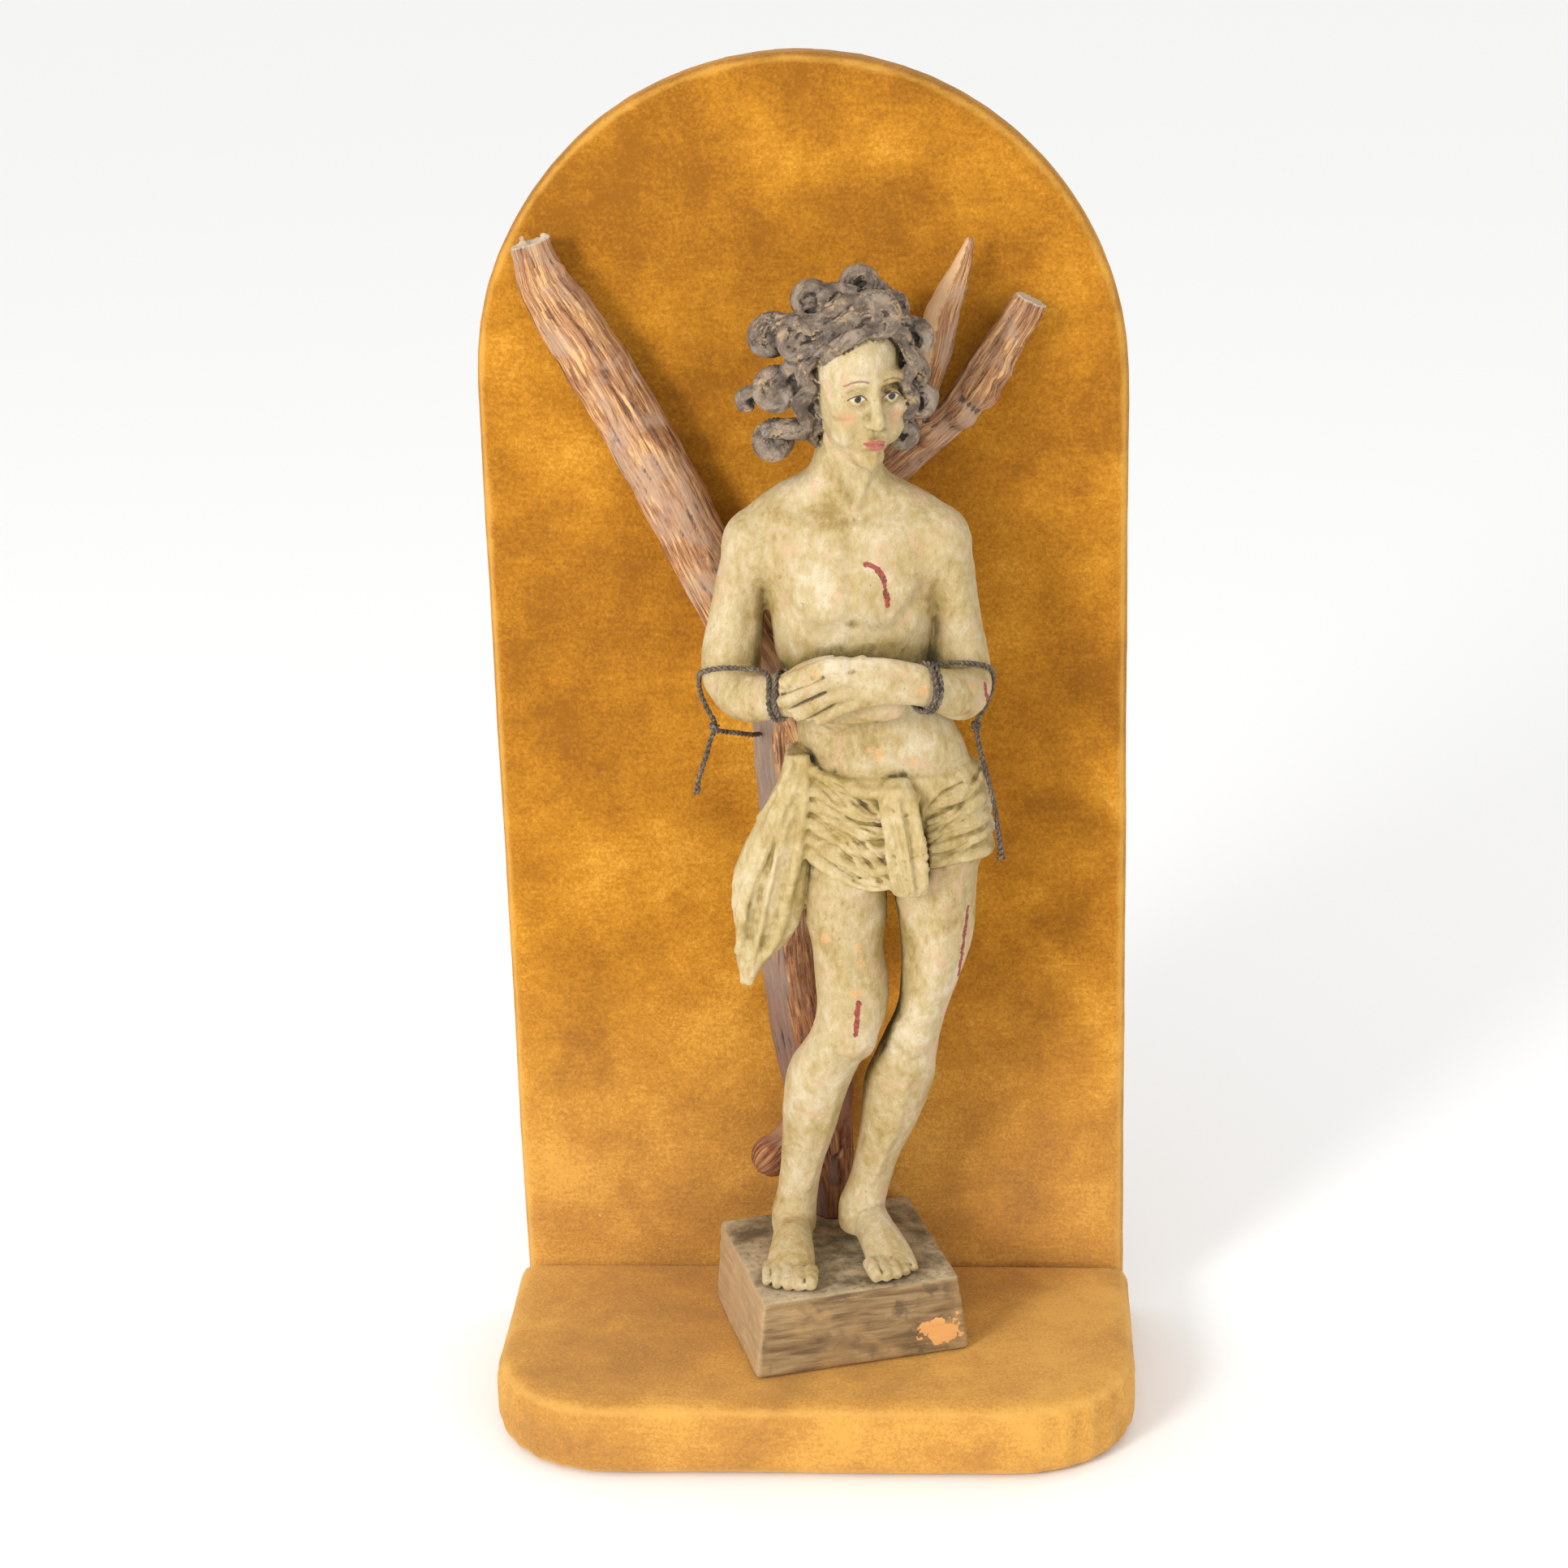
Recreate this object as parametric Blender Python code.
"""A carved and painted wooden saint, tied with twine, in front of a forked branch on a velvet-covered stand.

Units are metres, +Z is up and the front looks towards -Y. The origin is on the ground, under the
middle of the stand. The figure is written in thousandths of its own height, from a point between its feet.
"""

import math

import bmesh
import bpy
import numpy as np
from mathutils import Matrix, Vector
from mathutils.bvhtree import BVHTree

# Stand
BOARD_WIDTH = 0.260
BOARD_HEIGHT = 0.550
BOARD_THICK = 0.020
BOARD_EDGE = 0.005
SHELF_WIDTH = 0.264
SHELF_DEPTH = 0.129
SHELF_THICK = 0.032
SHELF_CORNER = 0.050
SHELF_EDGE = 0.007
TOUCH_GAP = 0.0003

# Plinth: a block cut on the skew, wider at its foot than at its top
PLINTH_HEIGHT = 0.034
PLINTH_TOP_WIDTH = 0.082
PLINTH_TOP_DEPTH = 0.077
PLINTH_FOOT_WIDTH = 0.0905
PLINTH_FOOT_DEPTH = 0.073
PLINTH_FOOT_FORWARD = 0.003
PLINTH_TURN = math.radians(17.4)
PLINTH_X = 0.0093
PLINTH_FROM_BOARD = 0.0545
PLINTH_EDGE = 0.0012

# Figure
FIGURE_HEIGHT = 0.412
FIGURE_FROM_BOARD = 0.050
FIGURE_GRAIN = 0.0015
FIGURE_FACES = 6700
HEAD_PLACE = (61, -20, 896)
HEAD_TURN = math.radians(22)
HEAD_NOD = math.radians(6)

# Branch
TREE_GRAIN = 0.0022
TREE_FACES = 850

# Twine
TWINE_DIAMETER = 0.0022
TWINE_POINT_SPACING = 0.0052
TWINE_TURN_SPACING = 0.0027

BOARD_BACK_Y = (SHELF_DEPTH + TOUCH_GAP + BOARD_THICK) / 2
BOARD_FACE_Y = BOARD_BACK_Y - BOARD_THICK
SHELF_BACK_Y = BOARD_FACE_Y - TOUCH_GAP
PLINTH_FOOT_Z = SHELF_THICK + TOUCH_GAP
PLINTH_TOP_Z = PLINTH_FOOT_Z + PLINTH_HEIGHT
STANDING_Z = PLINTH_TOP_Z + TOUCH_GAP
SOLE = Vector((0.0, BOARD_FACE_Y - FIGURE_FROM_BOARD, STANDING_Z))
SHARE = FIGURE_HEIGHT / 1000
VIEWER = Vector((0, -1, 0))


def clear_scene():
    for obj in list(bpy.data.objects):
        bpy.data.objects.remove(obj, do_unlink=True)


def painted(name, colour, roughness):
    material = bpy.data.materials.new(name)
    material.use_nodes = True
    shader = material.node_tree.nodes["Principled BSDF"]
    shader.inputs["Base Color"].default_value = (*colour, 1)
    shader.inputs["Roughness"].default_value = roughness
    shader.inputs["Metallic"].default_value = 0
    material.diffuse_color = (*colour, 1)
    return material


def add_object(name, data, material):
    obj = bpy.data.objects.new(name, data)
    bpy.context.scene.collection.objects.link(obj)
    data.materials.append(material)
    return obj


def add_mesh(name, bm, material):
    mesh = bpy.data.meshes.new(name)
    bm.to_mesh(mesh)
    bm.free()
    return add_object(name, mesh, material)


def body_point(x, y, z):
    """A place on the figure, in thousandths of its height."""
    return SOLE + SHARE * Vector((x, y, z))


def head_point(x, y, z):
    """A place on the head, measured from its middle along its own turned axes."""
    turn = Matrix.Rotation(HEAD_TURN, 3, "Z") @ Matrix.Rotation(HEAD_NOD, 3, "X")
    return body_point(*HEAD_PLACE) + SHARE * (turn @ Vector((x, y, z)))


def board_point(x, from_board, z):
    """A place given by its distance in front of the back board, in metres."""
    return Vector((x, BOARD_FACE_Y - from_board, z))


def smooth_run(rows, steps):
    """Reads points from a smooth curve that passes through every row."""
    rows = np.array(rows, dtype=float)
    padded = np.vstack([2 * rows[0] - rows[1], rows, 2 * rows[-1] - rows[-2]])
    run = []
    for a, b, c, d in zip(padded, padded[1:], padded[2:], padded[3:]):
        for t in np.arange(steps) / steps:
            run.append(
                0.5 * (2 * b + (c - a) * t + (2 * a - 5 * b + 4 * c - d) * t**2)
                + 0.5 * (3 * b - a - 3 * c + d) * t**3
            )
    run.append(rows[-1])
    return np.array(run)


def ring_place(centre, along, front, wide, deep):
    side = front.cross(along).normalized()
    depth = along.cross(side).normalized()
    place = Matrix((side * wide, depth * deep, along)).transposed().to_4x4()
    place.translation = centre
    return place


def loft(bm, centres, wides, deeps, level=False, front=VIEWER, sides=14):
    """Draws a ring along its centres as a closed tube; level rings stay flat like slices."""
    count = len(centres)
    verts = []
    last = None
    for i in range(count):
        ahead = centres[min(i + 1, count - 1)] - centres[max(i - 1, 0)]
        along = Vector((0, 0, 1)) if level else ahead.normalized()
        place = ring_place(centres[i], along, front, wides[i], deeps[i])
        if last is None:
            first = bmesh.ops.create_circle(
                bm, cap_ends=True, segments=sides, radius=1, matrix=place
            )
            verts = first["verts"]
        else:
            edges = {e for v in verts for e in v.link_edges if e.other_vert(v) in verts}
            grown = bmesh.ops.extrude_edge_only(bm, edges=list(edges))["geom"]
            verts = [g for g in grown if isinstance(g, bmesh.types.BMVert)]
            bmesh.ops.transform(bm, matrix=place @ last.inverted(), verts=verts)
        last = place
    rim = {e for v in verts for e in v.link_edges if e.is_boundary}
    bmesh.ops.holes_fill(bm, edges=list(rim), sides=0)


def limb(bm, rows, where=body_point, steps=3, level=False, front=VIEWER):
    """Lofts through rows of x, y, z, half width and half depth, in thousandths."""
    run = smooth_run(rows, steps)
    centres = [where(*row[:3]) for row in run]
    wides = [max(SHARE * row[3], 0.0004) for row in run]
    deeps = [max(SHARE * row[4], 0.0004) for row in run]
    loft(bm, centres, wides, deeps, level, front)


def strand(bm, points, where=body_point, steps=3, front=VIEWER):
    """Lofts a round tube through rows of x, y, z and radius, in thousandths."""
    limb(bm, [(x, y, z, r, r) for x, y, z, r in points], where, steps, False, front)


def ball(bm, centre, radii, turn=None):
    place = Matrix.Translation(centre) @ (turn or Matrix.Identity(4))
    scale = Matrix.Diagonal((*[SHARE * r for r in radii], 1))
    bmesh.ops.create_uvsphere(
        bm, u_segments=20, v_segments=12, radius=1, matrix=place @ scale
    )


TORSO = (
    (50, -12, 830, 31, 33),
    (48, -8, 810, 35, 33),
    (44, -6, 797, 54, 33),
    (46, -5, 784, 77, 34),
    (47, -6, 769, 95, 38),
    (48, -8, 750, 100, 43),
    (49, -11, 722, 88, 50),
    (51, -13, 695, 80, 54),
    (51, -13, 665, 77, 55),
    (51, -12, 635, 74, 52),
    (55, -10, 605, 71, 47),
    (64, -9, 575, 72, 46),
    (74, -10, 548, 78, 47),
    (78, -11, 520, 84, 50),
    (82, -12, 490, 88, 51),
    (85, -12, 460, 90, 51),
    (87, -12, 430, 87, 50),
    (87, -12, 405, 78, 46),
)
RIGHT_LEG = (
    (45, -12, 435, 44, 47),
    (39, -12, 396, 41, 45),
    (39, -15, 360, 40, 43),
    (40, -19, 336, 35, 40),
    (43, -24, 305, 36, 38),
    (44, -29, 274, 35, 36),
    (35, -31, 244, 34, 34),
    (16, -26, 213, 35, 33),
    (5, -17, 177, 32, 34),
    (-3, -9, 133, 27, 31),
    (-11, -2, 92, 22, 25),
    (-17, 2, 58, 21, 23),
    (-21, 3, 35, 23, 25),
    (-22, 2, 10, 22, 27),
)
LEFT_LEG = (
    (128, -10, 435, 42, 47),
    (126, -10, 388, 40, 46),
    (127, -11, 343, 36, 42),
    (120, -14, 300, 29, 38),
    (112, -16, 268, 25, 34),
    (101, -14, 236, 28, 32),
    (93, -7, 207, 32, 33),
    (87, 2, 180, 35, 35),
    (76, 9, 133, 29, 32),
    (64, 14, 94, 23, 26),
    (56, 16, 64, 22, 23),
    (47, 15, 37, 24, 25),
    (45, 13, 10, 22, 27),
)
RIGHT_UPPER_ARM = (
    (-30, -6, 752, 24, 30),
    (-45, -4, 722, 26, 33),
    (-55, -3, 690, 25, 30),
    (-60, -4, 658, 27, 29),
    (-65, -7, 628, 29, 29),
    (-66, -12, 602, 27, 27),
    (-64, -16, 588, 18, 18),
)
RIGHT_FOREARM = (
    (-62, -4, 606, 24, 22),
    (-60, -20, 600, 27, 26),
    (-48, -40, 597, 25, 26),
    (-32, -57, 601, 21, 23),
    (-16, -70, 607, 17, 21),
    (4, -77, 609, 13, 23),
    (30, -80, 607, 12, 26),
    (60, -80, 604, 11, 24),
    (88, -77, 600, 9, 18),
    (102, -72, 598, 7, 12),
)
LEFT_UPPER_ARM = (
    (126, -6, 752, 24, 30),
    (140, -4, 722, 25, 33),
    (147, -3, 690, 22, 30),
    (150, -4, 658, 23, 28),
    (154, -7, 628, 25, 28),
    (157, -12, 602, 25, 26),
    (156, -16, 588, 18, 18),
)
LEFT_FOREARM = (
    (156, -2, 606, 23, 22),
    (158, -18, 600, 25, 26),
    (153, -42, 598, 24, 26),
    (143, -63, 606, 20, 23),
    (129, -80, 616, 15, 20),
    (108, -92, 624, 12, 21),
    (84, -99, 629, 11, 24),
    (62, -101, 629, 10, 25),
    (48, -100, 628, 8, 22),
)
# Each finger of the upper hand runs from its knuckle over a joint to its tip
FINGERS = (
    ((58, -102, 647, 9), (30, -104, 645, 8), (6, -98, 634, 8), (-12, -90, 625, 6)),
    ((54, -104, 634, 9), (26, -106, 630, 8), (2, -98, 617, 8), (-14, -89, 606, 6)),
    ((58, -103, 622, 9), (32, -104, 616, 8), (14, -98, 603, 7), (0, -90, 593, 6)),
    ((64, -101, 611, 8), (44, -101, 605, 7), (32, -97, 597, 7), (20, -91, 589, 6)),
)
LOWER_THUMB = ((-8, -76, 622, 9), (8, -84, 634, 9), (24, -88, 642, 8), (38, -88, 645, 7))

HEAD = (
    (0, -20, -77, 9, 10),
    (0, -18, -71, 17, 22),
    (0, -13, -58, 26, 32),
    (0, -7, -40, 33, 40),
    (0, -3, -20, 38, 46),
    (0, 0, 0, 40, 50),
    (0, 2, 20, 41, 52),
    (0, 4, 40, 40, 51),
    (0, 5, 58, 33, 43),
    (0, 6, 70, 20, 27),
    (0, 6, 76, 8, 10),
)
NOSE = ((0, -47, 8, 5), (0, -51, -4, 4.5), (0, -56, -15, 5.5), (0, -58, -22, 6.5), (0, -53, -28, 5))

# Each curl: the points of its root, the middle that it winds round, its reach there at first and
# last, the angle where it starts and how far it winds, and the lock's radius at first and last
CURLS = (
    (((46, -30, 955),), (67, -22, 984), (13, 7), (190, -320), (9.7, 5.4)),
    (((37, -34, 947),), (19, -22, 969), (16, 9), (5, 245), (8.1, 5.4)),
    (((55, -58, 949), (21, -42, 950)), (-19, -22, 934), (16, 7), (70, 240), (11.2, 5.4)),
    (((51, -62, 947), (32, -54, 936)), (6, -38, 938), (16, 11), (-50, -190), (7, 5)),
    (((47, -58, 942), (27, -50, 931), (9, -40, 922)), (-14, -24, 887), (17, 12), (62, 330), (8.1, 5.8)),
    (((-30, -20, 889),), (-41, -18, 876), (7, 4), (120, 200), (6.6, 4.7)),
    (((13, -24, 851),), (-17, -20, 836), (15, 8), (62, 300), (10.5, 5.4)),
    (((47, -46, 963),), (80, -62, 962), (19, 11), (145, -330), (9.7, 5.8)),
    (((80, -34, 966),), (96, -26, 961), (9, 7), (120, -190), (8.1, 5.4)),
    (((99, -46, 946),), (114, -28, 935), (13, 7), (125, -310), (8.9, 5.8)),
    (((110, -26, 896),), (116, -20, 874), (13, 8), (110, -290), (8.5, 5.4)),
    (((121, -18, 882),), (129, -16, 876), (5, 2), (100, -120), (5.8, 3.1)),
    (((106, -20, 864),), (100, -16, 843), (12, 7), (70, -260), (8.1, 5.4)),
)
# Straighter hair beside the face and neck: x, y, z and radius
SIDE_HAIR = (
    ((23, -46, 918, 6.6), (16, -38, 897, 7.8), (12, -34, 872, 7.8), (11, -30, 846, 7.8)),
    ((105, -50, 934, 7), (110, -42, 913, 7), (108, -36, 881, 7), (100, -30, 851, 7)),
    ((107, -30, 921, 9.3), (116, -24, 903, 10.1), (113, -22, 884, 9.3)),
)
CURL_STEPS = 9
CURL_RISE = 5
CURL_BACKING = 11
CURL_BACKING_SHARE = 1.2
# Curls on the back of the head: their height, reach from its middle and number
BACK_CURL_ROWS = ((958, 26, 4), (928, 38, 6), (894, 42, 6), (862, 36, 5))
BACK_CURL = (((0, 10, 14),), (0, 0, 0), (13, 7), (95, 300), (9, 6))


def curl(bm, roots, middle, reach, wind, thick, where=body_point, front=VIEWER):
    """Draws a lock from its roots round its own middle, with hair behind it to carry it."""
    path = [(*root, thick[0]) for root in roots]
    for i in range(CURL_STEPS + 1):
        share = i / CURL_STEPS
        angle = math.radians(wind[0] + wind[1] * share)
        arm = reach[0] + (reach[1] - reach[0]) * share
        path.append(
            (
                middle[0] + arm * math.cos(angle),
                middle[1] - CURL_RISE * share,
                middle[2] + arm * math.sin(angle),
                thick[0] + (thick[1] - thick[0]) * share,
            )
        )
    strand(bm, path, where, steps=2, front=front)
    behind = where(middle[0], middle[1] + CURL_BACKING, middle[2])
    ball(bm, behind, (reach[0] * CURL_BACKING_SHARE,) * 3)


def hair(bm):
    ball(bm, body_point(60, 2, 914), (50, 46, 60))
    ball(bm, body_point(22, -12, 900), (24, 28, 42))
    ball(bm, body_point(103, -8, 894), (18, 28, 44))
    ball(bm, head_point(0, 2, 48), (46, 53, 36))
    for roots, middle, reach, wind, thick in CURLS:
        curl(bm, roots, middle, reach, wind, thick)
    for lock in SIDE_HAIR:
        strand(bm, lock)
    roots, middle, reach, wind, thick = BACK_CURL
    for height, out_by, count in BACK_CURL_ROWS:
        for i in range(count):
            angle = math.pi * (i + 0.5) / count
            out = Vector((math.cos(angle), math.sin(angle), 0))
            side = Vector((-math.sin(angle), math.cos(angle), 0))

            def on_back(x, y, z):
                spot = Vector((58, 0, height)) + out * (out_by - y) + side * x
                return body_point(spot.x, spot.y, height + z)

            turn_way = (wind[0], wind[1] if i % 2 else -wind[1])
            curl(bm, roots, middle, reach, turn_way, thick, on_back, out)


def head(bm):
    turn = Matrix.Rotation(HEAD_TURN, 4, "Z") @ Matrix.Rotation(HEAD_NOD, 4, "X")
    limb(bm, HEAD, head_point)
    strand(bm, NOSE, head_point)
    for side in (-1, 1):
        ball(bm, head_point(side * 6, -51, -25), (4.5, 5.5, 4), turn)
        ball(bm, head_point(side * 15.5, -38, -1), (9.5, 9, 8), turn)
        ball(bm, head_point(side * 17, -41, 13), (14, 7, 5), turn)
        ball(bm, head_point(side * 18, -31, -20), (14, 13, 16), turn)
    ball(bm, head_point(0, -45, -42), (12, 5, 3.6), turn)
    ball(bm, head_point(0, -44, -48), (10, 5, 4), turn)
    ball(bm, head_point(0, -36, -64), (13, 10, 10), turn)
    limb(bm, ((51, -12, 795, 32, 32), (53, -13, 825, 30, 31), (56, -14, 850, 30, 31)), level=True)


# Each foot: heel, ball of the foot, big toe tip and little toe tip
RIGHT_FOOT = ((-22, 24), (-21, -80), (0, -110), (-44, -97))
LEFT_FOOT = ((45, 34), (80, -62), (66, -92), (102, -67))
FOOT_SLICES = (
    (-0.14, 9, 9, 11),
    (0.00, 18, 15, 17),
    (0.25, 19, 22, 23),
    (0.50, 20, 20, 21),
    (0.75, 23, 16, 17),
    (0.95, 24, 11, 12),
    (1.06, 21, 8, 9),
)
TOE_LENGTH = 26


def foot(bm, heel, sole_front, big_toe, little_toe):
    rows = []
    for share, wide, high, centre_height in FOOT_SLICES:
        x = heel[0] + (sole_front[0] - heel[0]) * share
        y = heel[1] + (sole_front[1] - heel[1]) * share
        rows.append((x, y, centre_height - 3, wide, high))
    limb(bm, rows, front=Vector((0, 0, 1)))
    reach = Vector((sole_front[0] - heel[0], sole_front[1] - heel[1])).normalized()
    for i in range(5):
        share = i / 4
        tip = Vector(big_toe).lerp(Vector(little_toe), share)
        tip += reach * 5 * math.sin(math.pi * share)
        root = tip - reach * TOE_LENGTH
        thick = 7.8 - 2.8 * share
        strand(
            bm,
            (
                (root.x, root.y, 12, thick),
                (tip.x - reach.x * 10, tip.y - reach.y * 10, thick + 2.5, thick),
                (tip.x, tip.y, thick - 1, thick * 0.8),
            ),
        )


def limbs(bm):
    limb(bm, TORSO, level=True)
    limb(bm, RIGHT_LEG, level=True)
    limb(bm, LEFT_LEG, level=True)
    for rows in (RIGHT_UPPER_ARM, LEFT_UPPER_ARM):
        limb(bm, rows)
    for rows in (RIGHT_FOREARM, LEFT_FOREARM):
        limb(bm, rows, front=Vector((0, 0, 1)))
    for finger in FINGERS:
        strand(bm, finger)
    strand(bm, LOWER_THUMB)
    ball(bm, body_point(-37, -6, 732), (35, 36, 40))
    ball(bm, body_point(130, -6, 734), (35, 36, 40))
    ball(bm, body_point(22, -36, 700), (36, 26, 32))
    ball(bm, body_point(82, -36, 700), (36, 26, 32))
    ball(bm, body_point(44, -40, 246), (25, 27, 27))
    ball(bm, body_point(102, -24, 242), (23, 25, 28))
    foot(bm, *RIGHT_FOOT)
    foot(bm, *LEFT_FOOT)


def on_hips(degrees, height, lift):
    """A place on the hips, by its angle from the front and its height."""
    rows = np.array(TORSO)[::-1]
    x, y, wide, deep = (np.interp(height, rows[:, 2], rows[:, k]) for k in (0, 1, 3, 4))
    angle = math.radians(degrees)
    return (
        x + (wide + lift) * math.sin(angle),
        y - (deep + lift) * math.cos(angle),
        height,
    )


# Folds of the cloth: angles along the hips, heights there, and the fold's radius
SWAG_FOLDS = (
    (((-96, 533), (-62, 530), (-32, 517), (-8, 508), (14, 503)), 6),
    (((-96, 518), (-64, 514), (-36, 497), (-12, 487), (14, 489)), 5.5),
    (((-94, 504), (-64, 499), (-38, 480), (-14, 468), (13, 472)), 6),
    (((-90, 490), (-66, 482), (-40, 461), (-16, 449), (12, 455)), 6),
    (((-86, 476), (-68, 466), (-44, 444), (-18, 430), (11, 438)), 6.5),
    (((-82, 464), (-70, 452), (-48, 428), (-20, 413), (10, 420)), 6),
)
SIDE_FOLDS = (
    (((20, 490), (42, 496), (66, 503), (90, 508), (130, 512)), 5.5),
    (((22, 476), (44, 481), (70, 488), (94, 492), (130, 496)), 5.5),
    (((22, 463), (44, 466), (70, 471), (94, 475), (130, 480)), 6),
    (((22, 450), (44, 451), (70, 454), (94, 457), (130, 463)), 5.5),
    (((22, 437), (44, 436), (70, 436), (94, 438), (130, 445)), 6),
)
BACK_FOLD_HEIGHTS = ((512, 528), (494, 510), (474, 492), (454, 472), (434, 452))
DRAPE = (
    (-4, -32, 540, 10, 16),
    (-8, -34, 508, 15, 20),
    (-19, -32, 466, 26, 20),
    (-28, -30, 430, 35, 18),
    (-34, -29, 400, 37, 17),
    (-37, -28, 370, 34, 15),
    (-41, -27, 345, 28, 13),
    (-51, -26, 325, 18, 11),
    (-57, -25, 306, 9, 8),
    (-58, -25, 297, 5, 5),
)
# Ridges down the hanging end: how far across it at the top and at the tip, and how far down
DRAPE_RIDGES = ((-0.35, -0.85, 0.75), (0.30, -0.50, 1.00), (0.85, 0.10, 1.00))
KNOT_PLEATS = (
    ((76, -70, 510, 6.5), (80, -77, 480, 7), (87, -77, 446, 6.5), (96, -71, 408, 6)),
    ((90, -74, 516, 7), (95, -81, 484, 8), (101, -80, 446, 7.5), (105, -72, 408, 7)),
    ((104, -74, 512, 7), (109, -80, 482, 8), (112, -78, 446, 8), (114, -70, 410, 7.5)),
)
FOLD_LIFT = 5


def hip_fold(bm, route, thick):
    run = smooth_run(route, 4)
    points = [(*on_hips(degrees, height, FOLD_LIFT), thick) for degrees, height in run]
    strand(bm, points, steps=1)


def cloth(bm):
    base = [(x, y, z, wide + 4, deep + 4) for x, y, z, wide, deep in TORSO if 425 < z < 525]
    limb(bm, base, level=True)
    for route, thick in SWAG_FOLDS + SIDE_FOLDS:
        hip_fold(bm, route, thick)
    for right_height, left_height in BACK_FOLD_HEIGHTS:
        dip = (right_height + left_height) / 2 - 6
        route = ((126, right_height), (160, dip), (200, dip), (240, left_height), (268, left_height))
        hip_fold(bm, route, 6.5)
    limb(bm, DRAPE, level=True)
    drape = smooth_run(DRAPE, 2)
    for top, tip, reach in DRAPE_RIDGES:
        count = int(len(drape) * reach)
        ridge = []
        for i, (x, y, z, wide, deep) in enumerate(drape[:count]):
            across = top + (tip - top) * i / count
            ridge.append((x + wide * across, y - deep * 0.8, z, 6))
        strand(bm, ridge, steps=1)
    for pleat in KNOT_PLEATS:
        strand(bm, pleat)
    strand(bm, ((76, -70, 512, 8), (94, -78, 511, 10), (112, -70, 500, 8)))


# Strokes of the gouge on the front: points (x, z), half width and depth, in thousandths
GOUGES = (
    (((46, 760), (28, 756), (6, 759), (-14, 768)), 9, 2.2),
    (((60, 760), (78, 756), (98, 759), (116, 768)), 9, 2.2),
    (((-10, 694), (4, 676), (26, 668), (45, 678)), 11, -2.6),
    (((60, 678), (80, 668), (100, 676), (112, 694)), 11, -2.6),
    (((52, 745), (52, 710), (53, 680), (56, 655)), 7, -2.5),
    (((74, 582), (74, 578)), 6, -4),
    (((35, 655), (20, 642), (6, 634)), 6, -2),
    (((72, 655), (88, 642), (102, 634)), 6, -2),
    (((20, 553), (40, 540), (60, 534)), 7, -1.5),
    (((44, 232), (36, 222)), 12, -2),
    (((98, 222), (94, 214)), 10, -2),
)


FINGER_GAP = (5, -5)
TOE_GAP = (5, -4)


def distance_to_path(points, path):
    nearest = np.full(len(points), np.inf)
    for a, b in zip(path, path[1:]):
        along = b - a
        share = np.clip((points - a) @ along / max(along @ along, 1e-12), 0, 1)
        gap = np.linalg.norm(points - a - share[:, None] * along, axis=1)
        nearest = np.minimum(nearest, gap)
    return nearest


def mesh_arrays(mesh):
    points = np.empty(len(mesh.vertices) * 3)
    normals = np.empty(len(mesh.vertices) * 3)
    mesh.vertices.foreach_get("co", points)
    mesh.vertices.foreach_get("normal", normals)
    return points.reshape(-1, 3), normals.reshape(-1, 3)


def strokes_seen(tree, routes, eye_of, look):
    """Drops each stroke's points onto the skin, along the way that the carver looks."""
    for route, half_width, rise in routes:
        hits = [tree.ray_cast(eye_of(*spot), look)[0] for spot in route]
        path = [np.array(hit) for hit in hits if hit is not None]
        if len(path) > 1:
            yield path, half_width, rise


def between_fingers():
    for upper, lower in zip(FINGERS, FINGERS[1:]):
        pairs = list(zip(upper, lower))[1:]
        yield tuple(((a[0] + b[0]) / 2, (a[2] + b[2]) / 2) for a, b in pairs), *FINGER_GAP


def between_toes():
    for heel, sole_front, big_toe, little_toe in (RIGHT_FOOT, LEFT_FOOT):
        reach = Vector((sole_front[0] - heel[0], sole_front[1] - heel[1])).normalized()
        for i in range(4):
            tip = Vector(big_toe).lerp(Vector(little_toe), (i + 0.5) / 4)
            spots = (tip + reach * 3, tip - reach * 6, tip - reach * 16)
            yield tuple(tuple(spot) for spot in spots), *TOE_GAP


def gouge(mesh):
    """Raises or sinks the surface along the strokes, seen from the front and from above."""
    tree = BVHTree.FromPolygons(
        [v.co for v in mesh.vertices], [tuple(p.vertices) for p in mesh.polygons]
    )
    points, normals = mesh_arrays(mesh)
    front = list(GOUGES) + list(between_fingers())
    strokes = list(
        strokes_seen(tree, front, lambda x, z: body_point(x, -400, z), Vector((0, 1, 0)))
    )
    strokes += list(
        strokes_seen(
            tree, between_toes(), lambda x, y: body_point(x, y, 45), Vector((0, 0, -1))
        )
    )
    for path, half_width, rise in strokes:
        gap = distance_to_path(points, path) / (SHARE * half_width)
        points += normals * (SHARE * rise * np.clip(1 - gap**2, 0, 1) ** 2)[:, None]
    mesh.vertices.foreach_set("co", points.ravel())
    mesh.update()


def evaluated_mesh(obj):
    graph = bpy.context.evaluated_depsgraph_get()
    graph.update()
    return bpy.data.meshes.new_from_object(obj.evaluated_get(graph))


def fused(bm, grain, rounds, factor=0.5):
    """Joins overlapping closed forms into one skin, then rubs it smooth."""
    bmesh.ops.recalc_face_normals(bm, faces=bm.faces)
    mesh = bpy.data.meshes.new("blank")
    bm.to_mesh(mesh)
    bm.free()
    obj = bpy.data.objects.new("blank", mesh)
    bpy.context.scene.collection.objects.link(obj)
    merge = obj.modifiers.new("merge", "REMESH")
    merge.mode = "VOXEL"
    merge.voxel_size = grain
    rub = obj.modifiers.new("rub", "SMOOTH")
    rub.factor = factor
    rub.iterations = rounds
    result = evaluated_mesh(obj)
    bpy.data.objects.remove(obj, do_unlink=True)
    return result


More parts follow.
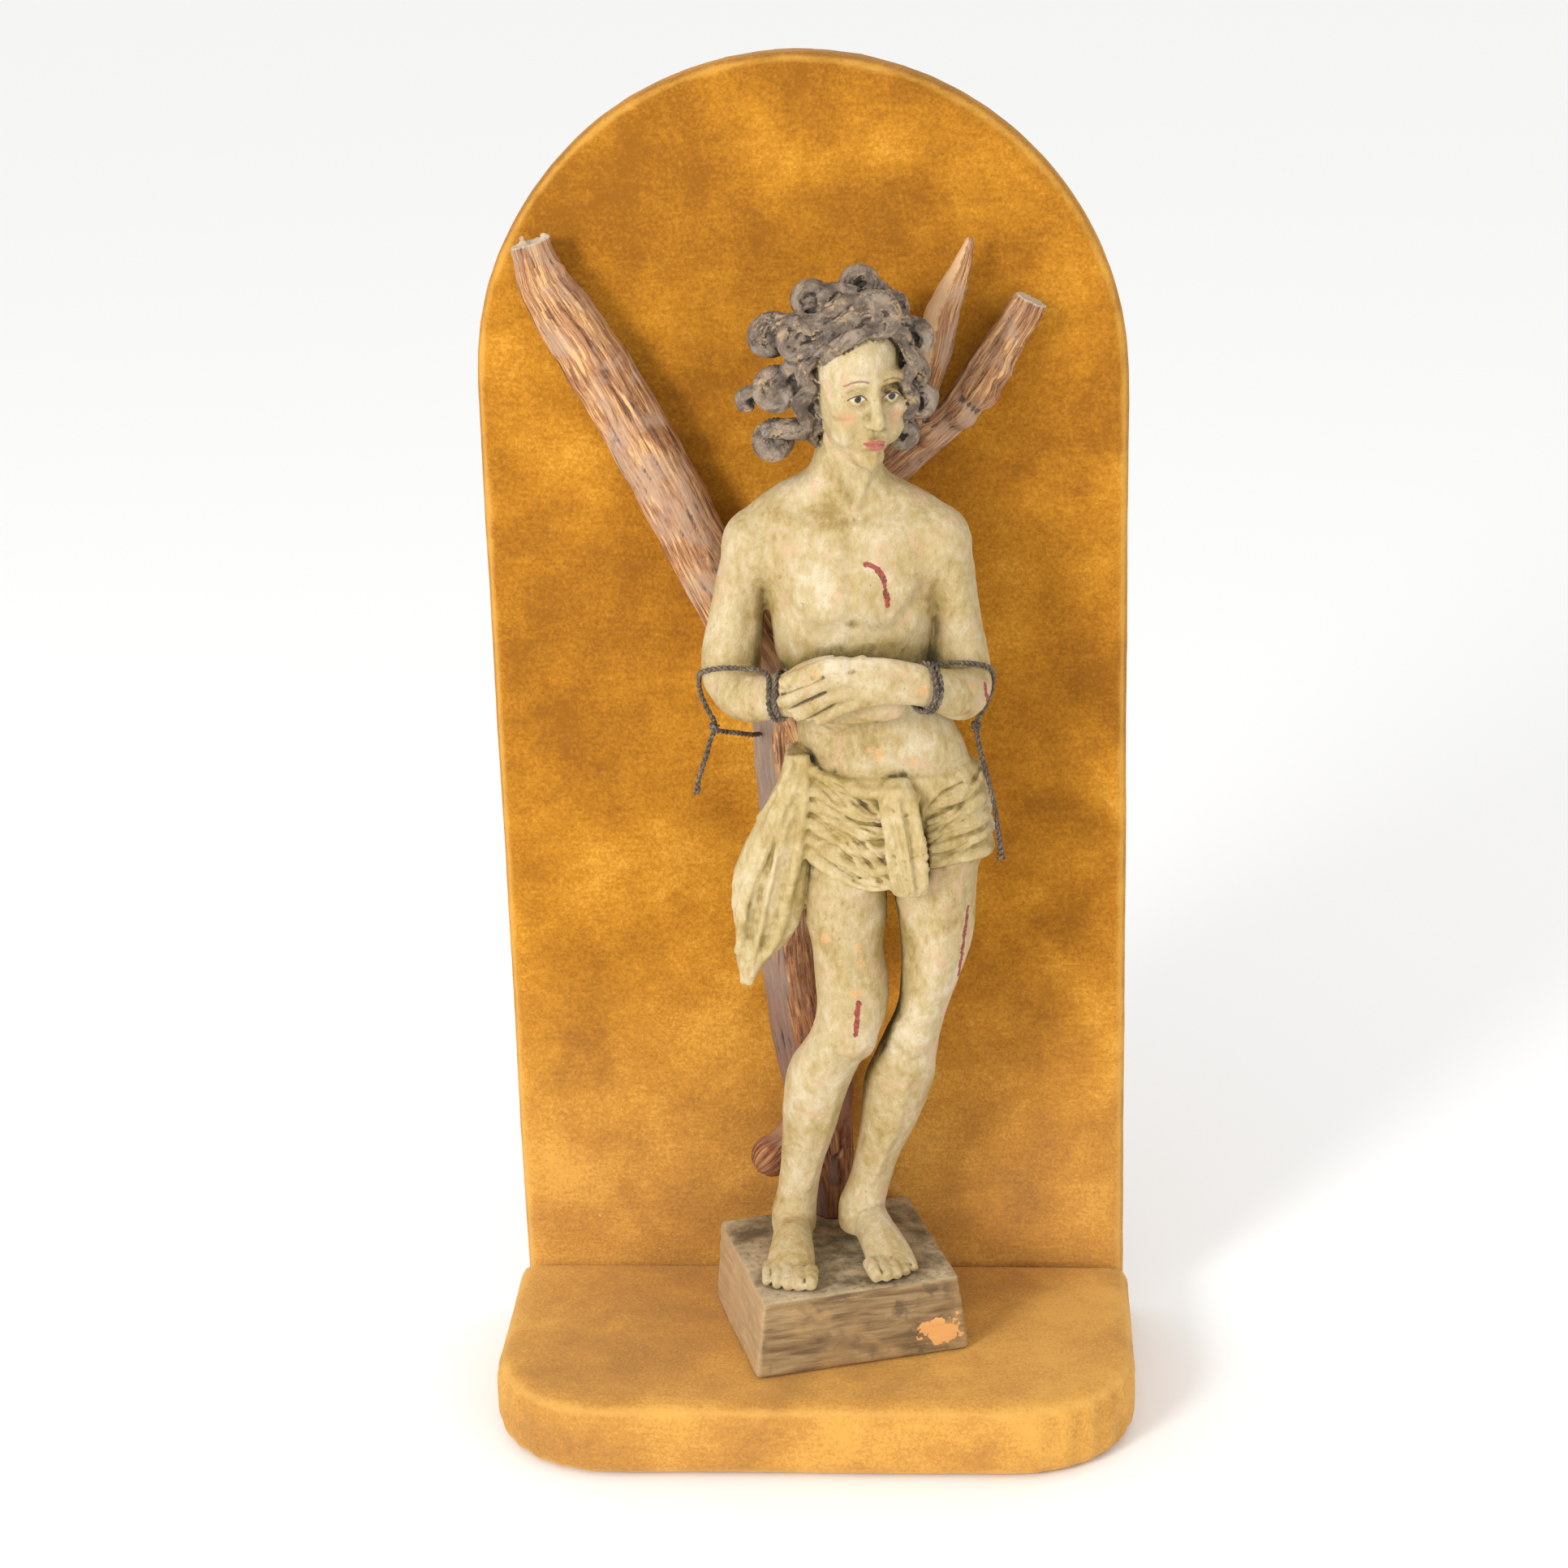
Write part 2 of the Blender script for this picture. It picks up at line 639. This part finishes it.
def largest_shell(bm):
    """Keeps the one closed skin with the most faces."""
    left = set(bm.faces)
    shells = []
    while left:
        found = {left.pop()}
        front = list(found)
        while front:
            face = front.pop()
            for edge in face.edges:
                for other in edge.link_faces:
                    if other in left:
                        left.discard(other)
                        found.add(other)
                        front.append(other)
        shells.append(found)
    shells.sort(key=len)
    spare = [face for shell in shells[:-1] for face in shell]
    bmesh.ops.delete(bm, geom=spare, context="FACES")


def thinned(mesh, faces):
    """The same form in about this many triangles."""
    obj = bpy.data.objects.new("thin", mesh)
    bpy.context.scene.collection.objects.link(obj)
    cut = obj.modifiers.new("cut", "DECIMATE")
    cut.ratio = faces / (2 * len(mesh.polygons))
    cut.use_collapse_triangulate = True
    result = evaluated_mesh(obj)
    bpy.data.objects.remove(obj, do_unlink=True)
    bm = bmesh.new()
    bm.from_mesh(result)
    bmesh.ops.triangulate(bm, faces=bm.faces)
    largest_shell(bm)
    bmesh.ops.recalc_face_normals(bm, faces=bm.faces)
    return bm


def carved_figure():
    bm = bmesh.new()
    limbs(bm)
    cloth(bm)
    head(bm)
    hair(bm)
    mesh = fused(bm, FIGURE_GRAIN, rounds=3)
    gouge(mesh)
    level_soles(mesh)
    return thinned(mesh, FIGURE_FACES)


def level_soles(mesh):
    """Cuts nothing away, but lifts every point to the height of the plinth's top."""
    points, _ = mesh_arrays(mesh)
    points[:, 2] = np.maximum(points[:, 2], STANDING_Z)
    mesh.vertices.foreach_set("co", points.ravel())
    mesh.update()


# Forked branch: x, distance in front of the board, height, radius, in millimetres
LEFT_BRANCH = (
    (2, 16.5, 262, 10),
    (-6, 16.5, 290, 11.5),
    (-17, 16.5, 312, 12.5),
    (-29.5, 16.5, 333.5, 13),
    (-40, 16.5, 355.5, 12.8),
    (-50.5, 16, 378, 13),
    (-57, 16, 391.5, 12.8),
    (-71.5, 15.5, 419.5, 12.8),
    (-83, 15, 440, 12.3),
    (-93, 14, 456, 11.5),
    (-99, 14, 466.5, 9.8),
    (-103.5, 14, 481.5, 7.5),
)
TRUNK = (
    (6, 22.5, 62, 7),
    (6, 22, 81.5, 8.5),
    (3, 19.5, 99.5, 12.5),
    (0, 17.5, 121, 13.5),
    (-5, 16, 149, 13),
    (-9.5, 15, 179, 12),
    (-10, 14.5, 215, 11),
    (-10, 14.5, 251, 10.6),
    (-11, 15, 280, 11.4),
    (-12, 16, 306, 10.5),
)
RIGHT_LIMB = (
    (-10, 15, 296, 8.5),
    (2, 14, 330, 8.5),
    (16, 13, 362, 8),
    (31.5, 13, 384, 7.6),
    (40, 13, 392.5, 7.2),
    (50.7, 13, 401.6, 7),
    (62.9, 13, 412.9, 7.5),
    (71, 13, 423.5, 7.8),
    (75.1, 13, 429.6, 8.3),
    (82.5, 13, 441.4, 7),
    (88.5, 13, 450.6, 6.8),
    (91.3, 13, 456, 6.4),
)
SPIKE = (
    (40, 13, 392, 5.4),
    (47, 12.5, 413, 5.2),
    (51.5, 12.5, 427, 5.4),
    (54.3, 12, 438, 6.4),
    (56.3, 12, 449, 6.8),
    (60.2, 12, 459, 5.6),
    (64.2, 12, 468.3, 4),
    (68, 12, 480, 1.6),
)
STUB = ((0, 19, 112, 8), (-13, 23, 99, 7.5), (-21, 25, 92, 7.5))


def wood_limb(bm, rows):
    millimetre = 0.001
    run = smooth_run(rows, 3)
    centres = [board_point(x * millimetre, y * millimetre, z * millimetre) for x, y, z, _ in run]
    radii = []
    for i, row in enumerate(run):
        knobbly = 1 + 0.035 * math.sin(1.7 * i) + 0.025 * math.sin(3.1 * i + 1)
        radii.append(row[3] * millimetre * knobbly)
    loft(bm, centres, radii, [0.96 * r for r in radii])


def forked_branch():
    bm = bmesh.new()
    for rows in (LEFT_BRANCH, TRUNK, RIGHT_LIMB, SPIKE, STUB):
        wood_limb(bm, rows)
    mesh = fused(bm, TREE_GRAIN, rounds=2)
    level_soles(mesh)
    return thinned(mesh, TREE_FACES)


def back_board():
    """An upright board with a half-round head, its faces across Y."""
    bm = bmesh.new()
    radius = BOARD_WIDTH / 2
    spring = BOARD_HEIGHT - radius
    arc = 30
    outline = [(-radius, 0), (radius, 0)]
    for i in range(arc + 1):
        angle = math.pi * i / arc
        outline.append((radius * math.cos(angle), spring + radius * math.sin(angle)))
    verts = [bm.verts.new((x, BOARD_FACE_Y, z)) for x, z in outline]
    face = bm.faces.new(verts)
    grown = bmesh.ops.extrude_face_region(bm, geom=[face])["geom"]
    back = [g for g in grown if isinstance(g, bmesh.types.BMVert)]
    bmesh.ops.translate(bm, vec=(0, BOARD_THICK, 0), verts=back)
    rims = [e for e in bm.edges if abs(e.verts[0].co.y - e.verts[1].co.y) < BOARD_THICK / 2]
    bmesh.ops.bevel(
        bm, geom=rims, offset=BOARD_EDGE, segments=2, profile=0.5, affect="EDGES", material=-1
    )
    bmesh.ops.triangulate(bm, faces=bm.faces)
    bmesh.ops.recalc_face_normals(bm, faces=bm.faces)
    return bm


def shelf():
    """A thick shelf whose two front corners are rounded in plan."""
    bm = bmesh.new()
    half = SHELF_WIDTH / 2
    front = SHELF_BACK_Y - SHELF_DEPTH
    arc = 9
    outline = [(-half, SHELF_BACK_Y)]
    for i in range(arc + 1):
        angle = math.pi + math.pi / 2 * i / arc
        x = -half + SHELF_CORNER + SHELF_CORNER * math.cos(angle)
        outline.append((x, front + SHELF_CORNER + SHELF_CORNER * math.sin(angle)))
    outline += [(-x, y) for x, y in reversed(outline)]
    verts = [bm.verts.new((x, y, 0)) for x, y in outline]
    face = bm.faces.new(verts)
    grown = bmesh.ops.extrude_face_region(bm, geom=[face])["geom"]
    top = [g for g in grown if isinstance(g, bmesh.types.BMVert)]
    bmesh.ops.translate(bm, vec=(0, 0, SHELF_THICK), verts=top)
    rims = [e for e in bm.edges if abs(e.verts[0].co.z - e.verts[1].co.z) < SHELF_THICK / 2]
    bmesh.ops.bevel(
        bm, geom=rims, offset=SHELF_EDGE, segments=2, profile=0.5, affect="EDGES", material=-1
    )
    bmesh.ops.triangulate(bm, faces=bm.faces)
    bmesh.ops.recalc_face_normals(bm, faces=bm.faces)
    return bm


def plinth():
    bm = bmesh.new()
    turn = Matrix.Rotation(PLINTH_TURN, 3, "Z")
    corners = ((-0.5, -0.5), (0.5, -0.5), (0.5, 0.5), (-0.5, 0.5))
    middle = Vector((PLINTH_X, BOARD_FACE_Y - PLINTH_FROM_BOARD, 0))
    rings = []
    for wide, deep, forward, z in (
        (PLINTH_FOOT_WIDTH, PLINTH_FOOT_DEPTH, PLINTH_FOOT_FORWARD, PLINTH_FOOT_Z),
        (PLINTH_TOP_WIDTH, PLINTH_TOP_DEPTH, 0, PLINTH_TOP_Z),
    ):
        ring = []
        for u, v in corners:
            spot = middle + turn @ Vector((u * wide, v * deep - forward, 0))
            ring.append(bm.verts.new((spot.x, spot.y, z)))
        rings.append(ring)
    bm.faces.new(rings[0])
    bm.faces.new(rings[1])
    edges = [e for e in bm.edges]
    bmesh.ops.bridge_loops(bm, edges=edges)
    bmesh.ops.recalc_face_normals(bm, faces=bm.faces)
    bmesh.ops.bevel(
        bm, geom=bm.edges[:], offset=PLINTH_EDGE, segments=1, profile=0.5, affect="EDGES", material=-1
    )
    bmesh.ops.triangulate(bm, faces=bm.faces)
    bmesh.ops.recalc_face_normals(bm, faces=bm.faces)
    return bm


# Twine: places in thousandths of the figure's height, on the loop round each elbow and wrist
RIGHT_TWINE_LOOP = (
    (-84, 2, 557),
    (-95, 14, 571),
    (-101, 10, 586),
    (-98, 0, 600),
    (-91, -14, 612),
    (-80, -32, 622),
    (-63, -44, 627),
    (-47, -52, 628),
    (-32, -60, 628),
    (-20, -66, 628),
)
LEFT_TWINE_LOOP = (
    (168, 4, 556),
    (180, 12, 573),
    (184, 6, 592),
    (179, -6, 604),
    (169, -26, 619),
    (154, -46, 630),
    (139, -62, 635),
    (126, -72, 636),
)
RIGHT_WRIST = ((-25, -68, 606), (-7, -72, 606))
LEFT_WRIST = ((131, -76, 613), (112, -90, 619))
WRIST_TURNS = 2
WRIST_REACH = 26
RIGHT_END_ROUTE = (
    (-45, 63, 523),
    (-53, 46, 528),
    (-64, 28, 536),
    (-75, 12, 543),
    (-84, 1, 547),
    (-89, -2, 538),
    (-92, -4, 527),
    (-97, -6, 513),
    (-101, -8, 501),
    (-103, -8, 487),
)
LEFT_END_ROUTE = (
    (167, 4, 546),
    (171, -8, 527),
    (177, -18, 508),
    (182, -29, 490),
    (185, -32, 474),
    (187, -31, 455),
    (189, -28, 438),
    (190, -24, 424),
)


def wrist_coil(wrist, start):
    """Turns round a wrist that begin nearest to where the loop arrives."""
    low, high = (body_point(*place) for place in wrist)
    along = (high - low).normalized()
    middle = (low + high) / 2
    first = start - middle
    first -= along * first.dot(along)
    first.normalize()
    side = along.cross(first)
    reach = SHARE * WRIST_REACH
    points = []
    steps = 10 * WRIST_TURNS
    for i in range(1, steps + 1):
        angle = 2 * math.pi * i / 10
        lift = along * TWINE_TURN_SPACING * (i / 10 - WRIST_TURNS / 2)
        points.append(middle + lift + reach * (first * math.cos(angle) + side * math.sin(angle)))
    return points


def hugging(points, skin, spacing, rounds=14):
    """Draws a twine tight over a solid, a twine's radius and a small gap outside, to its last turn."""
    stand_off = TWINE_DIAMETER / 2 + 3 * TOUCH_GAP
    run = evenly_spaced(smooth_run([tuple(p) for p in points], 6), spacing)
    for _ in range(rounds):
        run[1:-1] += 0.3 * ((run[:-2] + run[2:]) / 2 - run[1:-1])
        for i, spot in enumerate(run):
            near, normal, _, gap = skin.find_nearest(Vector(spot))
            away = Vector(spot) - near
            inside = away.dot(normal) < 0
            at_wrist = i == len(run) - 1
            if inside or gap < stand_off or at_wrist:
                out = normal if inside or gap < 1e-6 else away.normalized()
                run[i] = near + out * stand_off
    return run


def evenly_spaced(run, spacing):
    steps = np.linalg.norm(np.diff(run, axis=0), axis=1)
    reach = np.concatenate([[0], np.cumsum(steps)])
    count = max(2, round(reach[-1] / spacing) + 1)
    marks = np.linspace(0, reach[-1], count)
    return np.stack([np.interp(marks, reach, run[:, k]) for k in range(3)], axis=1)


def twine(name, points, material):
    curve = bpy.data.curves.new(name, "CURVE")
    curve.dimensions = "3D"
    curve.bevel_depth = TWINE_DIAMETER / 2
    curve.bevel_resolution = 2
    curve.use_fill_caps = True
    spline = curve.splines.new("POLY")
    spline.points.add(len(points) - 1)
    for spot, place in zip(spline.points, points):
        spot.co = (*place, 1)
    return add_object(name, curve, material)


def bindings(figure, material):
    skin = BVHTree.FromObject(figure, bpy.context.evaluated_depsgraph_get())
    for name, loop, wrist in (
        ("right_arm_twine", RIGHT_TWINE_LOOP, RIGHT_WRIST),
        ("left_arm_twine", LEFT_TWINE_LOOP, LEFT_WRIST),
    ):
        route = [body_point(*place) for place in loop]
        route += wrist_coil(wrist, route[-1])
        twine(name, hugging(route, skin, TWINE_POINT_SPACING), material)
    for name, places in (
        ("right_twine_end", RIGHT_END_ROUTE),
        ("left_twine_end", LEFT_END_ROUTE),
    ):
        route = smooth_run([tuple(body_point(*place)) for place in places], 6)
        twine(name, evenly_spaced(route, TWINE_POINT_SPACING), material)


def main():
    clear_scene()
    velvet = painted("gold_velvet", (0.42, 0.20, 0.035), 0.9)
    block = painted("stained_block", (0.16, 0.09, 0.045), 0.6)
    paint = painted("aged_paint", (0.55, 0.44, 0.24), 0.55)
    bark = painted("bark", (0.26, 0.12, 0.06), 0.7)
    hemp = painted("dark_twine", (0.09, 0.07, 0.05), 0.9)
    add_mesh("velvet_back_board", back_board(), velvet)
    add_mesh("velvet_shelf", shelf(), velvet)
    add_mesh("plinth", plinth(), block)
    figure = add_mesh("saint_figure", carved_figure(), paint)
    add_mesh("tree", forked_branch(), bark)
    bindings(figure, hemp)
    for obj in bpy.data.objects:
        if obj.type == "MESH":
            obj.data.shade_smooth()
            obj.data.set_sharp_from_angle(angle=math.radians(40))


main()
